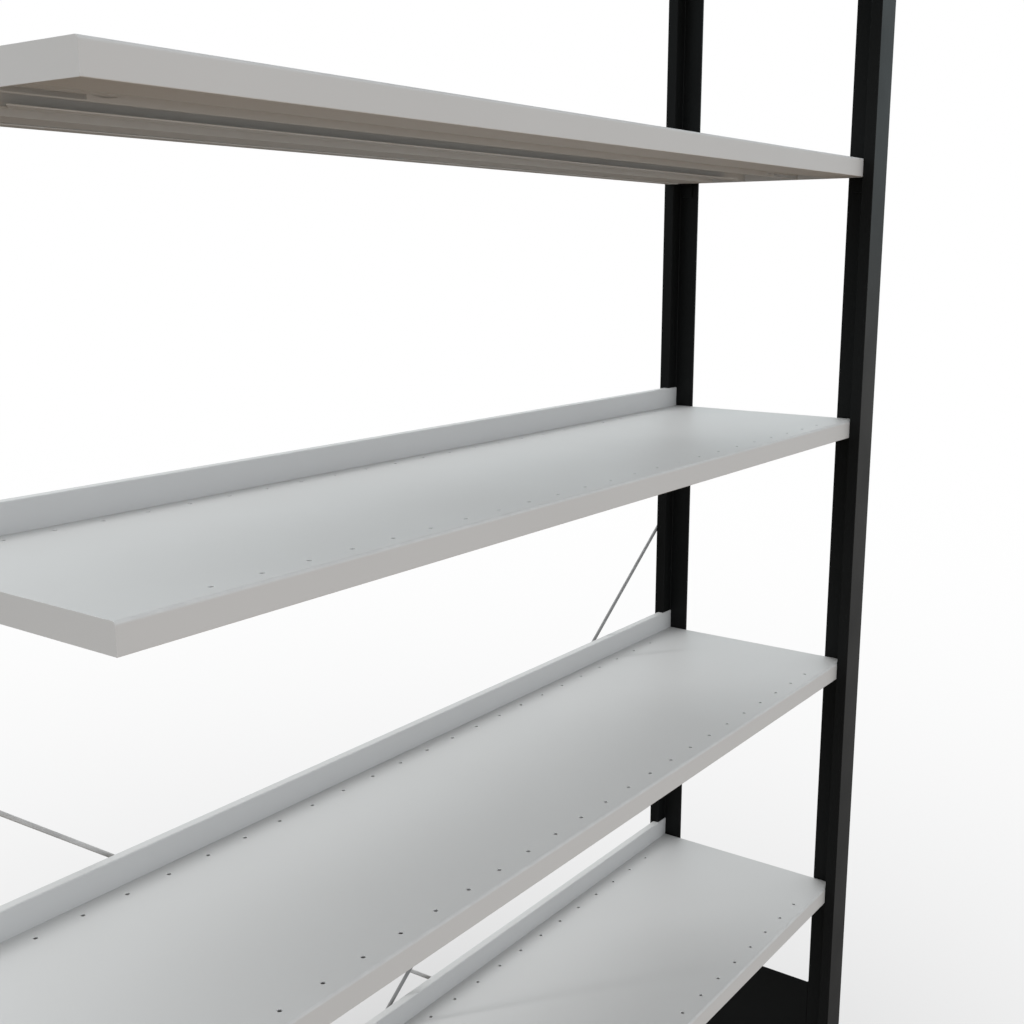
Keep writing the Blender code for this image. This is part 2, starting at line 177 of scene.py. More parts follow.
# Screws, with the dome of the head as shares of its height and radius
SCREW_RADIUS = 0.002
SCREW_HEAD_RADIUS = 0.004
SCREW_HEAD_HEIGHT = 0.0024
SCREW_DOME = ((0.0, 0.96), (0.1, 1.0), (0.4, 0.95), (0.72, 0.72), (0.93, 0.40), (1.0, 0.0))
SCREW_SKIN = 0.001
SCREW_SIDES = 24
RECESS_WIDTH = 0.0008
RECESS_LENGTH = 0.0042
RECESS_DEPTH = 0.0012

# Cross brace
BRACE_DROP = 0.9986
ROD_RADIUS = 0.0024
ROD_SIDES = 20
ROD_TAPER = 0.014
ROD_FLATTEN = 0.8 * ROD_TAPER
ROD_FLAT_WIDTH = 0.0098
ROD_FLAT_SHARE = 0.92
EYE_RADIUS = 0.009
EYE_ROOT = 0.8 * EYE_RADIUS
EYE_THICKNESS = 0.003
EYE_EDGE = 0.0004
BOLT_RADIUS = 0.003
BOLT_HEAD_WIDTH = 0.010
BOLT_HEAD_HEIGHT = 0.004
BOLT_HEAD_SIDES = 6
BOLT_EDGE = 0.0005
BOLT_SIDES = 24
WASHER_RADIUS = 0.0047
WASHER_TOP = BOLT_HEAD_HEIGHT / 4
SPACER_RADIUS = 0.0065
SPACER_EDGE = 0.0004
RING_SIDES = 32

# Detail of the meshes
BEND_SEGMENTS = 5
EDGE_SEGMENTS = 2
SMOOTH_ANGLE = math.radians(40)
FLAT_NORMAL = 0.985
OVER = 0.01
SAME_PLACE = 1e-6
MERGE_DISTANCE = 1e-7

# Patterns of the finishes
NOISE_LOW = 0.3
NOISE_HIGH = 0.7
DRIFT_DETAIL = 3.0
SKIN_DETAIL = 2.0
PATCH_SCALE = 9.0
PATCH_DETAIL = 3.0
# Mask of lighter bends and edges: partly worn paint, partly a painted highlight
WEAR_AND_HIGHLIGHT_SCALE = 60.0
WEAR_AND_HIGHLIGHT_DETAIL = 4.0
WEAR_AND_HIGHLIGHT_ROUGHNESS = 0.6
WEAR_AND_HIGHLIGHT_LOW = 0.42
WEAR_AND_HIGHLIGHT_HIGH = 0.62

# Floor
FLOOR_HALF = 120
# Plain floor seen in reflections: dark round the bay, pale in front of it as a painted lit patch
FLOOR_COLOUR = (0.060, 0.042, 0.026, 1)
FLOOR_FRONT_LIT_COLOUR = (0.84, 0.79, 0.72, 1)
FLOOR_FRONT_RANGE = (-1.2, -3.2)
FLOOR_SEEN_COLOUR = (0.50, 0.50, 0.50, 1)
# Painted shade on the floor seen by the camera, darkest round this centre
FLOOR_SHADE_CENTRE = (0.37, 0.45, 0.0)
FLOOR_SHADE_FADE = 1.19
FLOOR_GLOSSY_SHARE = 0.60
FLOOR_GLOSSY_RANGE = (0.6, -0.6)

# Sky and the light from below the horizon
SKY_FRONT_LOW = (1.13, 1.145, 1.19, 1)
SKY_BACK_LOW = (0.93, 0.93, 0.93, 1)
SKY_FRONT_HIGH = (0.34, 0.35, 0.35, 1)
SKY_BACK_HIGH = (1.57, 1.57, 1.57, 1)
SKY_FRONT_RANGE = (0.5, -0.5)
SKY_HIGH_RANGE = (0.45, 0.75)
SKY_LEFT_GAIN = 0.20
SKY_RIGHT_GAIN = 0.02
HORIZON_FRONT = (0.96, 0.99, 1.00, 1)
GROUND_FRONT = (0.40, 0.28, 0.18, 1)
GROUND_BACK = (0.05, 0.035, 0.022, 1)
GROUND_RANGE = (-0.10, -0.40)
HORIZON_RANGE = (0.0, -0.01)
BACKDROP_COLOUR = (1.0, 1.0, 1.0, 1)
GLOSSY_SKY_COLOUR = (1.05, 1.20, 1.24, 1)

# Strip light
STRIP_TOWARDS = (0.489, 0.630, 1.0)
STRIP_ALONG = (1.29, -1.0, 0.0)
STRIP_DISTANCE = 10.0
STRIP_LENGTH = 12.6
STRIP_WIDTH = 0.6
STRIP_POWER = 325.0
STRIP_AIM = (0.0, 0.0, 1.1)

# Places that follow from the sizes
POST_CENTRE_X = WEB_THICKNESS / 2
LEFT_POST_CENTRE_X = POST_CENTRE_X - BAY_PITCH
SHELF_RIGHT = -FIT_GAP
SHELF_LENGTH = BAY_PITCH - WEB_THICKNESS - 2 * FIT_GAP
WEB_END_Y = WEB_LENGTH - FIT_GAP

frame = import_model()
tray_low, tray_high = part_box("shelf_tray_1")
BAY_ORIGIN = Vector((tray_high.x - SHELF_RIGHT, tray_low.y, 0))


def bay_box(node):
    """Low and high corner of a CAD node in bay coordinates."""
    low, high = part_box(node)
    return low - BAY_ORIGIN, high - BAY_ORIGIN


# Mesh tools

def round_corners(bm, verts, radius):
    bmesh.ops.bevel(
        bm, geom=verts, offset=radius, offset_type="OFFSET", segments=BEND_SEGMENTS,
        profile=0.5, affect="VERTICES", material=-1)


def soften(bm, edges, width):
    bmesh.ops.bevel(
        bm, geom=edges, offset=width, offset_type="OFFSET", segments=EDGE_SEGMENTS,
        profile=0.5, affect="EDGES", material=-1)


def extrude_faces(bm, faces, move):
    extruded = bmesh.ops.extrude_face_region(bm, geom=faces)
    moved = [item for item in extruded["geom"] if isinstance(item, bmesh.types.BMVert)]
    bmesh.ops.translate(bm, verts=moved, vec=move)
    return moved


def prism(corners, axis, start, end):
    """Extrude an outline along an axis. A corner is its two other coordinates and its radius."""
    spots = {
        "X": lambda a, b: (start, a, b),
        "Y": lambda a, b: (a, start, b),
        "Z": lambda a, b: (a, b, start),
    }
    runs = {"X": (end - start, 0, 0), "Y": (0, end - start, 0), "Z": (0, 0, end - start)}
    bm = bmesh.new()
    verts = [bm.verts.new(spots[axis](a, b)) for a, b, _ in corners]
    bm.faces.new(verts)
    for radius in sorted({corner[2] for corner in corners if corner[2]}):
        alike = [vert for vert, corner in zip(verts, corners) if corner[2] == radius]
        round_corners(bm, alike, radius)
    extrude_faces(bm, bm.faces[:], runs[axis])
    bmesh.ops.recalc_face_normals(bm, faces=bm.faces)
    return bm


def end_edges(bm, axis):
    """Edges round both ends of a shape that was extruded along an axis."""
    part = "XYZ".index(axis)
    return [edge for edge in bm.edges
            if abs(edge.verts[0].co[part] - edge.verts[1].co[part]) < SAME_PLACE]


def block(low, high):
    corners = [(low[0], low[1], 0), (high[0], low[1], 0), (high[0], high[1], 0), (low[0], high[1], 0)]
    return prism(corners, "Z", low[2], high[2])


def turned(profile, axis, steps):
    """Turn a profile of (along, radius) pairs round an axis through the origin."""
    spots = {"X": lambda a, r: (a, r, 0), "Y": lambda a, r: (r, a, 0), "Z": lambda a, r: (r, 0, a)}
    turn = {"X": (1, 0, 0), "Y": (0, 1, 0), "Z": (0, 0, 1)}
    bm = bmesh.new()
    verts = [bm.verts.new(spots[axis](a, r)) for a, r in profile]
    edges = [bm.edges.new(pair) for pair in zip(verts, verts[1:])]
    bmesh.ops.spin(
        bm, geom=verts + edges, cent=(0, 0, 0), axis=turn[axis], angle=2 * math.pi, steps=steps,
        use_merge=True)
    bmesh.ops.remove_doubles(bm, verts=bm.verts, dist=MERGE_DISTANCE)
    bmesh.ops.recalc_face_normals(bm, faces=bm.faces)
    return bm


def moved_to(bm, place):
    bmesh.ops.translate(bm, verts=bm.verts, vec=place)
    return bm


def mirrored_depth(bm):
    """Mirror a front shape in Y to the matching place at the rear."""
    bmesh.ops.scale(bm, vec=(1, -1, 1), verts=bm.verts)
    bmesh.ops.translate(bm, vec=(0, SHELF_DEPTH, 0), verts=bm.verts)
    bmesh.ops.recalc_face_normals(bm, faces=bm.faces)
    return bm


def take_mesh(bm, name):
    """Mesh of a shape, which is used up."""
    mesh = bpy.data.meshes.new(name)
    bm.to_mesh(mesh)
    bm.free()
    return mesh


def link_object(name, data):
    obj = bpy.data.objects.new(name, data)
    bpy.context.scene.collection.objects.link(obj)
    return obj


def joined(shapes):
    """Several shapes as one, without a Boolean."""
    whole = bmesh.new()
    for shape in shapes:
        mesh = take_mesh(shape, "shape")
        whole.from_mesh(mesh)
        bpy.data.meshes.remove(mesh)
    return whole


def combined(base, tool, operation):
    """One Boolean of two closed shapes, which are used up."""
    shapes = [link_object("shape", take_mesh(bm, "shape")) for bm in (base, tool)]
    modifier = shapes[0].modifiers.new("combine", "BOOLEAN")
    modifier.operation = operation
    modifier.solver = "EXACT"
    modifier.object = shapes[1]
    result = bmesh.new()
    result.from_object(shapes[0], bpy.context.evaluated_depsgraph_get())
    for obj in shapes:
        mesh = obj.data
        bpy.data.objects.remove(obj)
        bpy.data.meshes.remove(mesh)
    return result


def add_piece(name, node, shape, material, place=(0, 0, 0)):
    """Make a piece from a copy of a shape. It stands for a CAD node and rides on the node's body."""
    bm = moved_to(shape.copy(), BAY_ORIGIN + Vector(place))
    mesh = take_mesh(bm, name)
    mesh.shade_smooth()
    mesh.set_sharp_from_angle(angle=SMOOTH_ANGLE)
    bend = mesh.attributes.new("bend", "FLOAT", "FACE")
    for face, value in zip(mesh.polygons, bend.data):
        value.value = 1.0 if max(abs(part) for part in face.normal) < FLAT_NORMAL else 0.0
    mesh.materials.append(material)
    piece = link_object(name, mesh)
    weighted = piece.modifiers.new("flat faces", "WEIGHTED_NORMAL")
    weighted.keep_sharp = True
    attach(piece, frame["nodes"][node]["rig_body"])
    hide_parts(node)
    return piece


# Shader tools

def new_group(name, inputs, outputs):
    group = bpy.data.node_groups.new(name, "ShaderNodeTree")
    for label, kind in inputs:
        group.interface.new_socket(label, in_out="INPUT", socket_type=kind)
    for label, kind in outputs:
        group.interface.new_socket(label, in_out="OUTPUT", socket_type=kind)
    return group, group.nodes.new("NodeGroupInput"), group.nodes.new("NodeGroupOutput")


def add_node(tree, kind, **settings):
    node = tree.nodes.new(kind)
    for label, value in settings.items():
        setattr(node, label, value)
    return node


def feed(tree, socket, value):
    """Link a socket to another one, or give it a plain value."""
    if isinstance(value, bpy.types.NodeSocket):
        tree.links.new(value, socket)
    else:
        socket.default_value = value


def add_coordinates(tree, kind):
    """Texture coordinates, whole and split into X, Y and Z."""
    coordinates = add_node(tree, "ShaderNodeTexCoord").outputs[kind]
    parts = add_node(tree, "ShaderNodeSeparateXYZ")
    tree.links.new(coordinates, parts.inputs["Vector"])
    return coordinates, parts.outputs


def add_noise(tree, scale, detail, roughness=0.5):
    coordinates = add_node(tree, "ShaderNodeTexCoord")
    noise = add_node(tree, "ShaderNodeTexNoise")
    feed(tree, noise.inputs["Scale"], scale)
    noise.inputs["Detail"].default_value = detail
    noise.inputs["Roughness"].default_value = roughness
    tree.links.new(coordinates.outputs["Object"], noise.inputs["Vector"])
    return noise.outputs["Fac"]


def add_range(tree, source, low, high, to_low=0.0, to_high=1.0):
    spread = add_node(tree, "ShaderNodeMapRange")
    spread.inputs["From Min"].default_value = low
    spread.inputs["From Max"].default_value = high
    spread.inputs["To Min"].default_value = to_low
    spread.inputs["To Max"].default_value = to_high
    tree.links.new(source, spread.inputs["Value"])
    return spread.outputs["Result"]


def add_math(tree, operation, first, second):
    node = add_node(tree, "ShaderNodeMath", operation=operation)
    feed(tree, node.inputs[0], first)
    feed(tree, node.inputs[1], second)
    return node.outputs["Value"]


def add_mix(tree, factor, first, second):
    node = add_node(tree, "ShaderNodeMix", data_type="RGBA")
    for label, value in (("Factor_Float", factor), ("A_Color", first), ("B_Color", second)):
        feed(tree, next(item for item in node.inputs if item.identifier == label), value)
    return next(item for item in node.outputs if item.identifier == "Result_Color")


def add_shader_mix(tree, factor, first, second):
    node = add_node(tree, "ShaderNodeMixShader")
    tree.links.new(factor, node.inputs["Fac"])
    tree.links.new(first, node.inputs[1])
    tree.links.new(second, node.inputs[2])
    return node.outputs["Shader"]


# Finishes

def make_tone_group():
    """Slow drift of a colour over a surface, lighter and darker by a share."""
    group, inside, outside = new_group(
        "tone_drift",
        [("Colour", "NodeSocketColor"), ("Share", "NodeSocketFloat"), ("Scale", "NodeSocketFloat")],
        [("Colour", "NodeSocketColor")])
    noise = add_noise(group, inside.outputs["Scale"], DRIFT_DETAIL)
    drift = add_range(group, noise, NOISE_LOW, NOISE_HIGH, -1.0, 1.0)
    gain = add_math(group, "ADD", 1.0, add_math(group, "MULTIPLY", drift, inside.outputs["Share"]))
    scaled = add_node(group, "ShaderNodeVectorMath", operation="SCALE")
    group.links.new(inside.outputs["Colour"], scaled.inputs[0])
    group.links.new(gain, scaled.inputs["Scale"])
    group.links.new(scaled.outputs["Vector"], outside.inputs["Colour"])
    return group


def make_skin_group():
    """Fine skin of a sprayed or moulded surface, as a height and a roughness that varies in patches."""
    group, inside, outside = new_group(
        "fine_skin",
        [("Scale", "NodeSocketFloat"), ("Gloss", "NodeSocketFloat"), ("Gloss Change", "NodeSocketFloat")],
        [("Height", "NodeSocketFloat"), ("Roughness", "NodeSocketFloat")])
    grain = add_noise(group, inside.outputs["Scale"], SKIN_DETAIL)
    patches = add_noise(group, PATCH_SCALE, PATCH_DETAIL)
    change = add_range(group, patches, NOISE_LOW, NOISE_HIGH, -1.0, 1.0)
    change = add_math(group, "MULTIPLY", change, inside.outputs["Gloss Change"])
    group.links.new(grain, outside.inputs["Height"])
    group.links.new(add_math(group, "ADD", inside.outputs["Gloss"], change), outside.inputs["Roughness"])
    return group


def make_wear_and_highlight_group():
    """Broken mask along bends and edges, from the bend value of each face: lighter worn paint and a
    painted highlight on the bends.
    """
    group, inside, outside = new_group(
        "edge_wear_and_highlight", [("Amount", "NodeSocketFloat")], [("Mask", "NodeSocketFloat")])
    bend = add_node(group, "ShaderNodeAttribute", attribute_name="bend")
    noise = add_noise(group, WEAR_AND_HIGHLIGHT_SCALE, WEAR_AND_HIGHLIGHT_DETAIL, WEAR_AND_HIGHLIGHT_ROUGHNESS)
    broken = add_range(group, noise, WEAR_AND_HIGHLIGHT_LOW, WEAR_AND_HIGHLIGHT_HIGH)
    mask = add_math(group, "MULTIPLY", broken, bend.outputs["Fac"])
    group.links.new(add_math(group, "MULTIPLY", mask, inside.outputs["Amount"]), outside.inputs["Mask"])
    return group


tone_drift = make_tone_group()
fine_skin = make_skin_group()
edge_wear_and_highlight = make_wear_and_highlight_group()


def use_group(tree, group, values):
    node = add_node(tree, "ShaderNodeGroup", node_tree=group)
    for label, value in values.items():
        node.inputs[label].default_value = value
    return node


def surface_material(name, colour, drift, drift_scale, skin_scale, skin_depth, gloss, gloss_change,
                     wear_and_highlight=0.0, wear_and_highlight_colour=None, **sockets):
    """Principled surface with drifting colour, a fine skin and, where asked, lighter bends and edges from
    wear and a painted highlight.
    """
    material = bpy.data.materials.new(name)
    material.use_nodes = True
    tree = material.node_tree
    shader = tree.nodes["Principled BSDF"]
    for label, value in sockets.items():
        shader.inputs[label.replace("_", " ")].default_value = value
    tone = use_group(tree, tone_drift, {"Colour": colour, "Share": drift, "Scale": drift_scale})
    skin = use_group(
        tree, fine_skin, {"Scale": skin_scale, "Gloss": gloss, "Gloss Change": gloss_change})
    base = tone.outputs["Colour"]
    if wear_and_highlight:
        wear_and_highlight_node = use_group(tree, edge_wear_and_highlight, {"Amount": wear_and_highlight})
        base = add_mix(tree, wear_and_highlight_node.outputs["Mask"], base, wear_and_highlight_colour)
    bump = add_node(tree, "ShaderNodeBump")
    bump.inputs["Strength"].default_value = 1.0
    bump.inputs["Distance"].default_value = skin_depth
    tree.links.new(skin.outputs["Height"], bump.inputs["Height"])
    tree.links.new(bump.outputs["Normal"], shader.inputs["Normal"])
    tree.links.new(skin.outputs["Roughness"], shader.inputs["Roughness"])
    tree.links.new(base, shader.inputs["Base Color"])
    return material


# Both coats are lighter on their bends and edges: partly worn paint, partly a painted highlight
grey_coat = surface_material(
    "light_grey_coat", colour=(0.560, 0.568, 0.565, 1), drift=0.02, drift_scale=2.5,
    skin_scale=900.0, skin_depth=0.00002, gloss=0.50, gloss_change=0.03,
    wear_and_highlight=0.20, wear_and_highlight_colour=(0.71, 0.725, 0.72, 1), Specular_IOR_Level=0.15)
black_coat = surface_material(
    "black_coat", colour=(0.0068, 0.0072, 0.0071, 1), drift=0.08, drift_scale=4.0,
    skin_scale=800.0, skin_depth=0.00003, gloss=0.40, gloss_change=0.04,
    wear_and_highlight=0.10, wear_and_highlight_colour=(0.03, 0.03, 0.03, 1), Specular_IOR_Level=0.08)
black_plastic = surface_material(
    "black_plastic", colour=(0.012, 0.012, 0.012, 1), drift=0.10, drift_scale=20.0,
    skin_scale=1200.0, skin_depth=0.00006, gloss=0.55, gloss_change=0.05, Specular_IOR_Level=0.35)
zinc_pattern = {
    "drift": 0.10,
    "drift_scale": 40.0,
    "skin_scale": 500.0,
    "skin_depth": 0.00003,
    "gloss_change": 0.06,
}
zinc_plate = surface_material(
    "zinc_plate", colour=(0.50, 0.51, 0.52, 1), gloss=0.36, Metallic=1.0, **zinc_pattern)
dull_zinc = surface_material("dull_zinc", colour=(0.48, 0.475, 0.465, 1), gloss=0.42, **zinc_pattern)
# Darker copy of the dull zinc for the first rod: painted shade, as that rod lies in shade
painted_shade_zinc = surface_material("painted_shade_zinc", colour=(0.22, 0.22, 0.22, 1), gloss=0.42, **zinc_pattern)


# Side frame

def post_outline():
    """Outline of a front T-post."""
    half = FLANGE_WIDTH / 2
    front = -FIT_GAP - FLANGE_DEPTH
    back = -FIT_GAP
    return [
        (POST_CENTRE_X - half, front, FLANGE_CORNER),
        (POST_CENTRE_X + half, front, FLANGE_CORNER),
        (POST_CENTRE_X + half, back, FLANGE_BACK_CORNER),
        (WEB_THICKNESS, back, WEB_FILLET),
        (WEB_THICKNESS, WEB_END_Y, WEB_EDGE),
        (0, WEB_END_Y, WEB_EDGE),
        (0, back, WEB_FILLET),
        (POST_CENTRE_X - half, back, FLANGE_BACK_CORNER),
    ]


def flange_core(inset, bottom, top):
    """Block that fills the hollow of a post's flange, less an inset all round."""
    margin = FLANGE_WALL + inset
    half = FLANGE_WIDTH / 2 - margin
    low = (POST_CENTRE_X - half, -FIT_GAP - FLANGE_DEPTH + margin, bottom)
    return block(low, (POST_CENTRE_X + half, -FIT_GAP - margin, top))


def make_post(bottom, top, levels):
    """Front T-post with a hollow flange and a slot for each shelf support."""
    post = prism(post_outline(), "Z", bottom, top)
    post = combined(post, flange_core(0, bottom - OVER, top + OVER), "DIFFERENCE")
    start = SUPPORT_INSET + HOOK_INSET - FIT_GAP
    slots = []
    for level in levels:
        neck = level - SUPPORT_HEIGHT + HOOK_DROP
        low = (-OVER, start, neck - FIT_GAP)
        high = (OVER, start + SUPPORT_SHEET + 2 * FIT_GAP, neck + HOOK_NECK + HOOK_RISE + FIT_GAP)
        slots.append(block(low, high))
    return combined(post, joined(slots), "DIFFERENCE")


def make_post_end(bottom, top, plug_bottom, plug_top):
    """End plate with the post's outline and a plug for the hollow flange."""
    plate = prism(post_outline(), "Z", bottom, top)
    soften(plate, end_edges(plate, "Z"), END_EDGE)
    return combined(plate, flange_core(FIT_GAP, plug_bottom, plug_top), "UNION")


def make_panel(bottom, top):
    """Sheet flush with the webs' inner faces, with laps on their outer faces."""
    lap_x = WEB_THICKNESS + FIT_GAP
    edge = WEB_END_Y + FIT_GAP
    outer = [
        (lap_x + PANEL_SHEET, WEB_END_Y - PANEL_LAP, 0),
        (lap_x, WEB_END_Y - PANEL_LAP, 0),
        (lap_x, edge, 0),
        (0, edge, PANEL_BEND),
    ]
    inner = [
        (PANEL_SHEET, edge + PANEL_SHEET, 0),
        (lap_x + PANEL_SHEET, edge + PANEL_SHEET, PANEL_BEND),
    ]
    rear_outer = [(x, SHELF_DEPTH - y, radius) for x, y, radius in reversed(outer)]
    rear_inner = [(x, SHELF_DEPTH - y, radius) for x, y, radius in reversed(inner)]
    return prism(outer + rear_outer + rear_inner + inner, "Z", bottom, top)


def make_screw():
    """Cross-recess screw along X with its head's underside at X = 0."""
    length = WEB_THICKNESS + PANEL_SHEET + FIT_GAP - SCREW_SKIN
    height = SCREW_HEAD_HEIGHT
    profile = [(-length, 0), (-length, SCREW_RADIUS), (0, SCREW_RADIUS)]
    profile.extend((height * up, SCREW_HEAD_RADIUS * out) for up, out in SCREW_DOME)
    screw = turned(profile, "X", SCREW_SIDES)
    arm = RECESS_LENGTH / 2
    half = RECESS_WIDTH / 2
    deep = height - RECESS_DEPTH
    upright = block((deep, -half, -arm), (height + OVER, half, arm))
    level = block((deep, -arm, -half), (height + OVER, arm, half))
    return combined(screw, combined(upright, level, "UNION"), "DIFFERENCE")


def make_support():
    """Front support: an angle with its ledge at Z = 0 and a hook through the web."""
    near = -FIT_GAP
    angle = [
        (near, 0, SUPPORT_BEND),
        (near - SUPPORT_LEDGE, 0, 0),
        (near - SUPPORT_LEDGE, -SUPPORT_SHEET, 0),
        (near - SUPPORT_SHEET, -SUPPORT_SHEET, 0),
        (near - SUPPORT_SHEET, -SUPPORT_HEIGHT, 0),
        (near, -SUPPORT_HEIGHT, 0),
    ]
    support = prism(angle, "Y", SUPPORT_INSET, SUPPORT_INSET + SUPPORT_WIDTH)
    far = WEB_THICKNESS + FIT_GAP
    neck = -SUPPORT_HEIGHT + HOOK_DROP
    hook = [
        (near - SUPPORT_SHEET / 2, neck + HOOK_NECK, 0),
        (near - SUPPORT_SHEET / 2, neck, 0),
        (far, neck, 0),
        (far, neck - HOOK_DROP, HOOK_TIP_CORNER),
        (far + SUPPORT_SHEET, neck - HOOK_DROP, HOOK_TIP_CORNER),
        (far + SUPPORT_SHEET, neck + HOOK_NECK, HOOK_BACK_CORNER),
    ]
    start = SUPPORT_INSET + HOOK_INSET
    return combined(support, prism(hook, "Y", start, start + SUPPORT_SHEET), "UNION")


# Shelf

def make_hole_cutter():
    """Divider hole with a flared upper edge, at the origin."""
    profile = [
        (-2 * SHEET, 0), (-2 * SHEET, HOLE_RADIUS), (-HOLE_FLARE, HOLE_RADIUS),
        (HOLE_FLARE, HOLE_RADIUS + 2 * HOLE_FLARE), (HOLE_FLARE, 0),
    ]
    return turned(profile, "Z", HOLE_SIDES)


def make_tray():
    """Folded tray with its right end at X = 0 and its deck's top at Z = 0."""
    outside = [
        (0, 0, TOP_BEND),
        (SHELF_DEPTH, 0, REAR_BEND),
        (SHELF_DEPTH, -SHELF_HEIGHT, LOW_BEND),
        (0, -SHELF_HEIGHT, LOW_BEND),
    ]
    tray = prism(outside, "X", -SHELF_LENGTH, 0)
    soften(tray, end_edges(tray, "X"), TRAY_END_EDGE)
    floor_z = -SHELF_HEIGHT + SHEET
    half = [
        (RETURN_WIDTH, -SHELF_HEIGHT - SHEET),
        (RETURN_WIDTH, floor_z + RETURN_LIP),
        (RETURN_WIDTH - SHEET, floor_z + RETURN_LIP),
        (RETURN_WIDTH - SHEET, floor_z),
        (SHEET, floor_z),
    ]
    hollow = [(y, z, 0) for y, z in half]
    hollow.append((SHEET, -SHEET, TOP_BEND - SHEET))
    hollow.append((SHELF_DEPTH - SHEET, -SHEET, REAR_BEND - SHEET))
    hollow.extend((SHELF_DEPTH - y, z, 0) for y, z in reversed(half))
    tray = combined(tray, prism(hollow, "X", SHEET - SHELF_LENGTH, -SHEET), "DIFFERENCE")
    cutter = make_hole_cutter()
    first = -(SHELF_LENGTH + HOLE_SPACES * HOLE_PITCH) / 2
    holes = []
    for index in range(HOLE_SPACES + 1):
        for y in (HOLE_INSET, SHELF_DEPTH - HOLE_INSET):
            holes.append(moved_to(cutter.copy(), (first + index * HOLE_PITCH, y, 0)))
    return combined(tray, joined(holes), "DIFFERENCE")


def make_stiffener():
    """Channel under the deck, open below, with slots at both ends of its front wall."""
    top = -SHEET - FIT_GAP
    bottom = -SHELF_HEIGHT
    front = (SHELF_DEPTH - STIFFENER_WIDTH) / 2
    rear = front + STIFFENER_WIDTH
    lip_front = rear - STIFFENER_LIP
    lip_rear = rear - 2 * SHEET
    section = [
        (front, bottom, 0),
        (front, top, STIFFENER_BEND),
        (rear, top, STIFFENER_BEND),
        (rear, bottom, STIFFENER_BEND),
        (lip_front, bottom, STIFFENER_EDGE),
        (lip_front, bottom + SHEET, 0),
        (rear - SHEET, bottom + SHEET, 0),
        (rear - SHEET, top - SHEET, 0),
        (front + SHEET, top - SHEET, 0),
        (front + SHEET, bottom, 0),
    ]
    inset = SHEET + FIT_GAP
    channel = prism(section, "X", inset - SHELF_LENGTH, -inset)
    slot_z = bottom + SLOT_STRIP
    wall = (front - SHEET, front + 2 * SHEET)
    cuts = []
    for end, inward in ((inset - SHELF_LENGTH, 1), (-inset, -1)):
        slot = [
            (end + inward * SLOT_EDGE, slot_z, 0),
            (end + inward * SLOT_LENGTH, slot_z, 0),
            (end + inward * SLOT_LENGTH, slot_z + SLOT_HEIGHT, 0),
            (end + inward * SLOT_EDGE, slot_z + SLOT_HEIGHT, 0),
        ]
        nick = [
            (end + inward * NICK_START, bottom + NICK_TOP, 0),
            (end + inward * NICK_LOW, bottom + NICK_BOTTOM, 0),
            (end + inward * NICK_END, bottom + NICK_TOP, 0),
        ]
        lip = [
            (end - inward * OVER, lip_front - OVER, 0),
            (end + inward * LIP_START, lip_front - OVER, 0),
            (end + inward * LIP_START, lip_front, 0),
            (end + inward * LIP_START_BACK, lip_rear, 0),
            (end - inward * OVER, lip_rear, 0),
        ]
        cuts.append(prism(slot, "Y", *wall))
        cuts.append(prism(nick, "Y", *wall))
        cuts.append(prism(lip, "Z", bottom - OVER, bottom + 2 * SHEET))
    return combined(channel, joined(cuts), "DIFFERENCE")


def make_stop():
    """Strip on the deck's back edge that hooks under it and is notched at the posts."""
    front = SHELF_DEPTH - SHEET
    rear = front + STOP_DEPTH
    foot_front = rear - STOP_FOOT
    foot_top = -SHELF_HEIGHT - FIT_GAP
    foot_bottom = foot_top - SHEET
    section = [
        (front, -STOP_SEAT, 0),
        (front, STOP_HEIGHT, STOP_BEND),
        (rear, STOP_HEIGHT, STOP_BEND),
        (rear, foot_bottom, STOP_BEND),
        (foot_front, foot_bottom, 0),
        (foot_front, foot_top, 0),
        (rear - SHEET, foot_top, 0),
        (rear - SHEET, STOP_HEIGHT - SHEET, 0),
        (front + SHEET, STOP_HEIGHT - SHEET, 0),
        (front + SHEET, -STOP_SEAT, 0),
    ]
    stop = prism(section, "X", -SHELF_LENGTH, 0)
    half_post = FLANGE_WIDTH / 2 + STOP_CLEARANCE
    right_notch = POST_CENTRE_X - half_post - SHELF_RIGHT
    left_notch = LEFT_POST_CENTRE_X + half_post - SHELF_RIGHT
    behind = SHELF_DEPTH + STOP_NOTCH_GAP
    notch = [
        (foot_front - OVER, foot_bottom - OVER, 0),
        (rear + OVER, foot_bottom - OVER, 0),
        (rear + OVER, STOP_HEIGHT + OVER, 0),
        (behind, STOP_HEIGHT + OVER, 0),
        (behind, foot_top / 2, 0),
        (foot_front - OVER, foot_top / 2, 0),
    ]
    spans = ((-SHELF_LENGTH - OVER, left_notch), (right_notch, OVER))
    return combined(stop, joined([prism(notch, "X", *span) for span in spans]), "DIFFERENCE")


# Cross brace

def make_ring(front, rear, radius, edge):
    """Ring along Y for a bolt, centred on X = 0 and Z = 0, with softened outer edges."""
    bore = BOLT_RADIUS + FIT_GAP
    profile = [
        (front, bore), (front, radius - edge), (front + edge, radius),
        (rear - edge, radius), (rear, radius - edge), (rear, bore), (front, bore),
    ]
    return turned(profile, "Y", RING_SIDES)


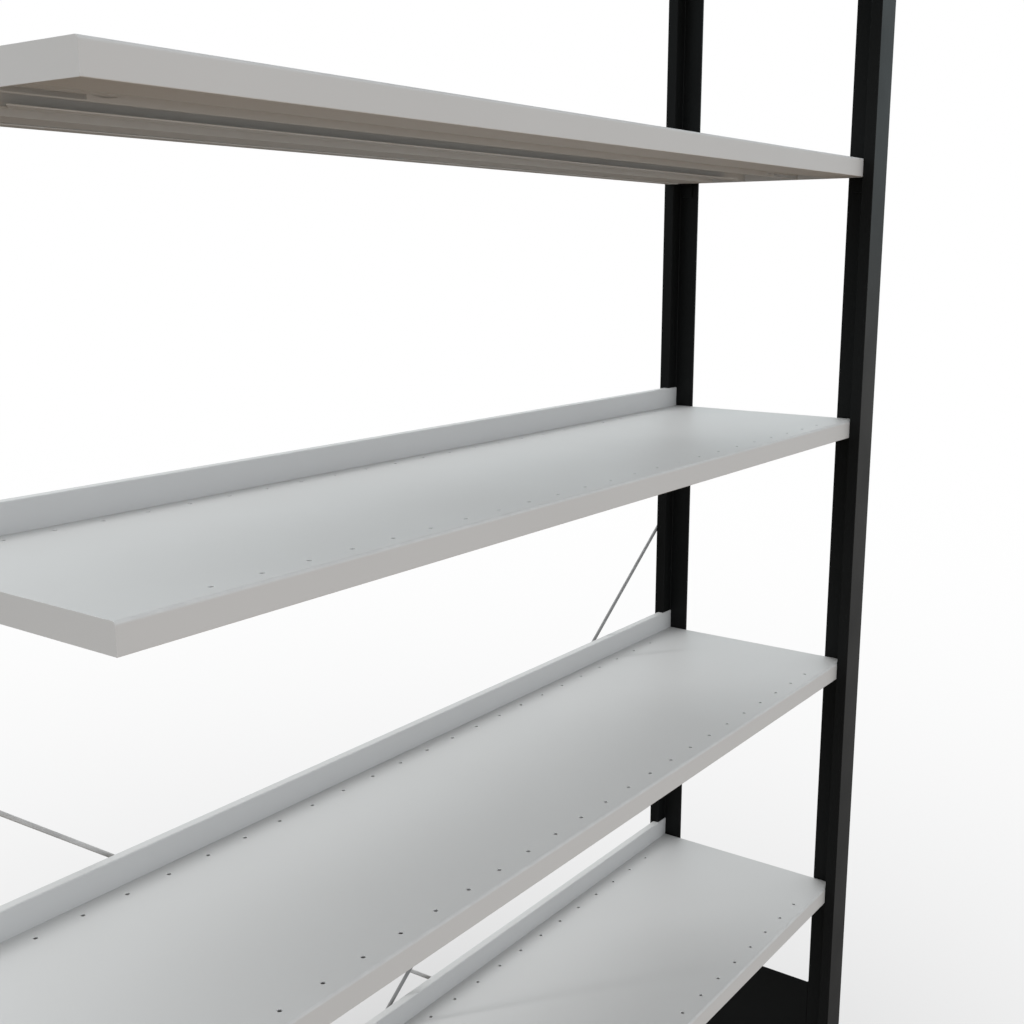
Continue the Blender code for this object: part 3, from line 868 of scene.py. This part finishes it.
def make_rod():
    """Round bar along X with flattened ends and bored eyes, whose front faces are at Y = 0."""
    reach = math.hypot(BAY_PITCH, BRACE_DROP) / 2
    round_end = reach - EYE_RADIUS - ROD_TAPER
    flat_end = reach - EYE_ROOT
    bm = bmesh.new()
    start = Matrix.Translation((-round_end, ROD_RADIUS, 0)) @ Matrix.Rotation(math.pi / 2, 4, "Y")
    bmesh.ops.create_circle(bm, cap_ends=True, segments=ROD_SIDES, radius=ROD_RADIUS, matrix=start)
    extrude_faces(bm, bm.faces[:], (2 * round_end, 0, 0))
    ends = [cap for cap in bm.faces if len(cap.verts) == ROD_SIDES]
    flat = (1, ROD_FLAT_SHARE * EYE_THICKNESS / (2 * ROD_RADIUS), ROD_FLAT_WIDTH / (2 * ROD_RADIUS))
    for cap in ends:
        side = math.copysign(1, cap.calc_center_median().x)
        grown = extrude_faces(bm, [cap], (side * ROD_FLATTEN, EYE_THICKNESS / 2 - ROD_RADIUS, 0))
        centre = sum((vert.co for vert in grown), Vector()) / len(grown)
        bmesh.ops.scale(bm, vec=flat, space=Matrix.Translation(-centre), verts=grown)
        last = [one for one in bm.faces if all(vert in grown for vert in one.verts)]
        extrude_faces(bm, last, (side * (flat_end - round_end - ROD_FLATTEN), 0, 0))
    caps = [one for one in bm.faces if len(one.verts) == ROD_SIDES]
    hidden = [one for one in caps if abs(one.calc_center_median().x) < flat_end - SAME_PLACE]
    bmesh.ops.delete(bm, geom=hidden, context="FACES_ONLY")
    bmesh.ops.recalc_face_normals(bm, faces=bm.faces)
    eyes = []
    for end in (-reach, reach):
        eyes.append(moved_to(make_ring(0, EYE_THICKNESS, EYE_RADIUS, EYE_EDGE), (end, 0, 0)))
    return combined(bm, joined(eyes), "UNION")


def make_bolt(seat, shank_end):
    """Hexagon bolt along Y, centred on X = 0 and Z = 0, with its washer face on the seat."""
    top = seat + BOLT_HEAD_HEIGHT
    corner = BOLT_HEAD_WIDTH / math.sqrt(3)
    hexagon = []
    for index in range(BOLT_HEAD_SIDES):
        angle = 2 * math.pi / BOLT_HEAD_SIDES * (index + 0.5)
        hexagon.append((corner * math.cos(angle), corner * math.sin(angle), 0))
    head = prism(hexagon, "Y", seat, top)
    rim = [edge for edge in end_edges(head, "Y") if abs(edge.verts[0].co.y - top) < SAME_PLACE]
    soften(head, rim, BOLT_EDGE)
    under = seat - FIT_GAP
    washer_top = seat + WASHER_TOP
    profile = [
        (shank_end, 0), (shank_end, BOLT_RADIUS), (under, BOLT_RADIUS), (under, WASHER_RADIUS),
        (washer_top, WASHER_RADIUS), (washer_top, 0),
    ]
    return combined(head, turned(profile, "Y", BOLT_SIDES), "UNION")


# Pieces of the side frame
shelf_tops = [bay_box(f"shelf_tray_{number}")[1].z for number in range(1, SHELF_COUNT + 1)]
support_levels = [top - SHELF_HEIGHT - FIT_GAP for top in shelf_tops]

post_low, post_high = bay_box("front_post")
post = make_post(post_low.z, post_high.z, support_levels)
foot_top = post_low.z - FIT_GAP
foot = make_post_end(0, foot_top, foot_top / 2, foot_top + PLUG_LENGTH)
cap_bottom = post_high.z + FIT_GAP
cap = make_post_end(
    cap_bottom, cap_bottom + END_PLATE, cap_bottom - PLUG_LENGTH, cap_bottom + END_PLATE / 2)
support = make_support()
for side in ("front", "rear"):
    if side == "rear":
        for shape in (post, foot, cap, support):
            mirrored_depth(shape)
    add_piece(f"t_post_{side}", f"{side}_post", post, black_coat)
    add_piece(f"post_foot_{side}", f"{side}_foot", foot, black_plastic)
    add_piece(f"post_cap_{side}", f"{side}_cap", cap, black_plastic)
    for number, level in enumerate(support_levels, 1):
        add_piece(f"shelf_support_{side}_{number}", f"support_{side}_{number}", support,
                  black_coat, (0, 0, level))

screw = make_screw()
for label in ("lower", "upper"):
    panel_low, panel_high = bay_box(f"{label}_tie_panel")
    add_piece(f"tie_sheet_{label}", f"{label}_tie_panel", make_panel(panel_low.z, panel_high.z),
              black_coat)
    for side in ("front", "rear"):
        for number in (1, 2):
            node = f"{label}_panel_screw_{side}_{number}"
            low, high = bay_box(node)
            place = (high.x - SCREW_HEAD_HEIGHT, (low.y + high.y) / 2, (low.z + high.z) / 2)
            add_piece(f"tie_screw_{label}_{side}_{number}", node, screw, zinc_plate, place)

# Pieces of the shelves
tray = make_tray()
stiffener = make_stiffener()
stop = make_stop()
for number, top in enumerate(shelf_tops, 1):
    place = (SHELF_RIGHT, 0, top)
    add_piece(f"folded_tray_{number}", f"shelf_tray_{number}", tray, grey_coat, place)
    add_piece(f"deck_channel_{number}", f"shelf_stiffener_{number}", stiffener, grey_coat,
              place)
    add_piece(f"stop_strip_{number}", f"rear_stop_{number}", stop, grey_coat, place)

# Pieces of the cross brace
slope = math.atan2(BRACE_DROP, BAY_PITCH)
# The first rod takes the darker zinc copy, which is painted shade
for number, turn, rod_look in ((1, -slope, painted_shade_zinc), (2, slope, dull_zinc)):
    low, high = bay_box(f"brace_rod_{number}")
    rod = make_rod()
    bmesh.ops.rotate(rod, verts=rod.verts, cent=(0, 0, 0), matrix=Matrix.Rotation(turn, 3, "Y"))
    place = ((low.x + high.x) / 2, low.y, (low.z + high.z) / 2)
    add_piece(f"cross_rod_{number}", f"brace_rod_{number}", rod, rod_look, place)
for label in ("upper", "lower"):
    low, high = bay_box(f"brace_bolt_{label}")
    bolt = make_bolt(high.y - BOLT_HEAD_HEIGHT, low.y)
    place = ((low.x + high.x) / 2, 0, (low.z + high.z) / 2)
    add_piece(f"rod_bolt_{label}", f"brace_bolt_{label}", bolt, zinc_plate, place)
low, high = bay_box("brace_spacer")
spacer = make_ring(low.y, high.y, SPACER_RADIUS, SPACER_EDGE)
place = ((low.x + high.x) / 2, 0, (low.z + high.z) / 2)
add_piece("rod_spacer", "brace_spacer", spacer, zinc_plate, place)


# Stage, light and camera

def seen_factor(tree, glossy_share):
    """One for camera and transmission rays, a share for glossy rays and zero for the rest."""
    path = add_node(tree, "ShaderNodeLightPath")
    seen = add_math(tree, "MAXIMUM", path.outputs["Is Camera Ray"], path.outputs["Is Transmission Ray"])
    glossy = add_math(tree, "MULTIPLY", path.outputs["Is Glossy Ray"], glossy_share)
    return add_math(tree, "MAXIMUM", seen, glossy)


def make_floor_material():
    """Pale floor that fades to a white glow away from the bay, and is darker round the bay as painted
    shade.

    Glossy rays see in part a plain floor, dark round the bay and pale in front of it as a painted lit
    patch.
    """
    material = bpy.data.materials.new("floor")
    material.use_nodes = True
    tree = material.node_tree
    tree.nodes.clear()
    coordinates, parts = add_coordinates(tree, "Object")
    front = add_range(tree, parts["Y"], *FLOOR_FRONT_RANGE)
    plain = add_node(tree, "ShaderNodeBsdfDiffuse")
    tree.links.new(add_mix(tree, front, FLOOR_COLOUR, FLOOR_FRONT_LIT_COLOUR), plain.inputs["Color"])
    pale = add_node(tree, "ShaderNodeBsdfDiffuse")
    pale.inputs["Color"].default_value = FLOOR_SEEN_COLOUR
    glow = add_node(tree, "ShaderNodeEmission")
    distance = add_node(tree, "ShaderNodeVectorMath", operation="DISTANCE")
    distance.inputs[1].default_value = FLOOR_SHADE_CENTRE
    tree.links.new(coordinates, distance.inputs[0])
    # Painted shade: nearer the bay the glow gives way to the pale floor, which also takes the real shadow
    shade = add_math(tree, "POWER", math.exp(-1 / FLOOR_SHADE_FADE), distance.outputs["Value"])
    shown = add_shader_mix(tree, shade, glow.outputs["Emission"], pale.outputs["BSDF"])
    share = add_range(tree, parts["Y"], *FLOOR_GLOSSY_RANGE, 0.0, FLOOR_GLOSSY_SHARE)
    whole = add_shader_mix(tree, seen_factor(tree, share), plain.outputs["BSDF"], shown)
    output = add_node(tree, "ShaderNodeOutputMaterial")
    tree.links.new(whole, output.inputs["Surface"])
    return material


def make_floor():
    bm = bmesh.new()
    bmesh.ops.create_grid(bm, x_segments=1, y_segments=1, size=FLOOR_HALF)
    mesh = take_mesh(bm, "floor")
    mesh.materials.append(make_floor_material())
    floor = link_object("floor", mesh)
    floor.visible_diffuse = False
    floor.visible_shadow = False
    floor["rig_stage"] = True


def make_world():
    """Soft sky, bright low in front and high behind, over warm ground light, with a white backdrop."""
    world = bpy.data.worlds.new("studio")
    bpy.context.scene.world = world
    world.use_nodes = True
    tree = world.node_tree
    tree.nodes.clear()
    parts = add_coordinates(tree, "Generated")[1]
    front = add_range(tree, parts["Y"], *SKY_FRONT_RANGE)
    high = add_range(tree, parts["Z"], *SKY_HIGH_RANGE)
    deep = add_range(tree, parts["Z"], *GROUND_RANGE)
    below = add_range(tree, parts["Z"], *HORIZON_RANGE)
    low_sky = add_mix(tree, front, SKY_BACK_LOW, SKY_FRONT_LOW)
    high_sky = add_mix(tree, front, SKY_BACK_HIGH, SKY_FRONT_HIGH)
    upper_half = add_mix(tree, high, low_sky, high_sky)
    ground_light = add_mix(tree, deep, HORIZON_FRONT, GROUND_FRONT)
    lower_half = add_mix(tree, front, GROUND_BACK, ground_light)
    left = add_range(tree, parts["X"], 0.0, -1.0, 1.0, 1.0 + SKY_LEFT_GAIN)
    right = add_range(tree, parts["X"], 0.0, 1.0, 1.0, 1.0 + SKY_RIGHT_GAIN)
    light = add_node(tree, "ShaderNodeBackground")
    tree.links.new(add_mix(tree, below, upper_half, lower_half), light.inputs["Color"])
    tree.links.new(add_math(tree, "MULTIPLY", left, right), light.inputs["Strength"])
    backdrop = add_node(tree, "ShaderNodeBackground")
    path = add_node(tree, "ShaderNodeLightPath")
    tint = add_mix(tree, path.outputs["Is Glossy Ray"], BACKDROP_COLOUR, GLOSSY_SKY_COLOUR)
    tree.links.new(tint, backdrop.inputs["Color"])
    backdrop.inputs["Strength"].default_value = 1.0
    whole = add_shader_mix(
        tree, seen_factor(tree, 1.0), light.outputs["Background"], backdrop.outputs["Background"])
    output = add_node(tree, "ShaderNodeOutputWorld")
    tree.links.new(whole, output.inputs["Surface"])


def make_strip_light():
    """Long soft lamp high behind the bay, on its right."""
    data = bpy.data.lights.new("strip_light", "AREA")
    data.shape = "RECTANGLE"
    data.size = STRIP_LENGTH
    data.size_y = STRIP_WIDTH
    data.energy = STRIP_POWER
    lamp = link_object("strip_light", data)
    back = Vector(STRIP_TOWARDS).normalized()
    along = Vector(STRIP_ALONG).normalized()
    turn = Matrix((along, back.cross(along), back)).transposed()
    lamp.matrix_world = Matrix.Translation(Vector(STRIP_AIM) + back * STRIP_DISTANCE) @ turn.to_4x4()
    lamp.visible_camera = False


def make_camera():
    data = bpy.data.cameras.new("camera")
    data.lens = CAMERA_LENS
    data.sensor_width = CAMERA_SENSOR
    camera = link_object("camera", data)
    camera.location = CAMERA_PLACE
    camera.rotation_euler = (math.pi / 2 - CAMERA_PITCH, 0, CAMERA_YAW - math.pi / 2)
    bpy.context.scene.camera = camera


make_floor()
make_world()
make_strip_light()
make_camera()
bpy.context.scene.view_settings.view_transform = "Standard"

low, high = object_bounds()
